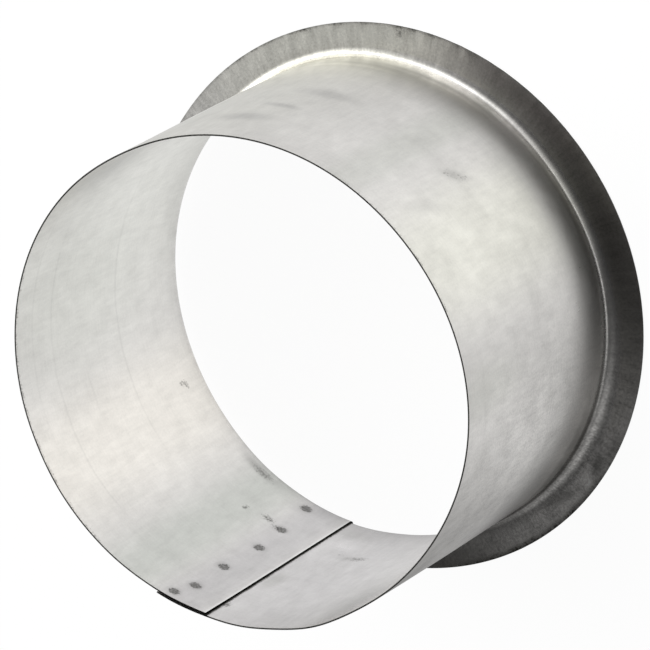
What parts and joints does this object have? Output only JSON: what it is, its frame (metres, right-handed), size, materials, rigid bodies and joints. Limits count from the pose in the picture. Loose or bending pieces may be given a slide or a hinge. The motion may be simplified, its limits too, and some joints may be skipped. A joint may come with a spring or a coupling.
{
  "type": "duct collar",
  "caption": "Short round sheet-metal duct collar with a lapped, spot-welded seam and one end turned out into a flat flange.",
  "frame": {"origin": "centre of the flange's back face, on the tube's axis", "axes": "+Z along the tube's axis from the flange to the open mouth, and the middle of the lap seam on -Y"},
  "size_m": [0.182, 0.182, 0.097],
  "materials": {
    "zinc_sheet": "satin galvanised steel sheet, lightly stained and handled"
  },
  "bodies": {
    "root": {"collar": "zinc_sheet"}
  },
  "joints": []
}
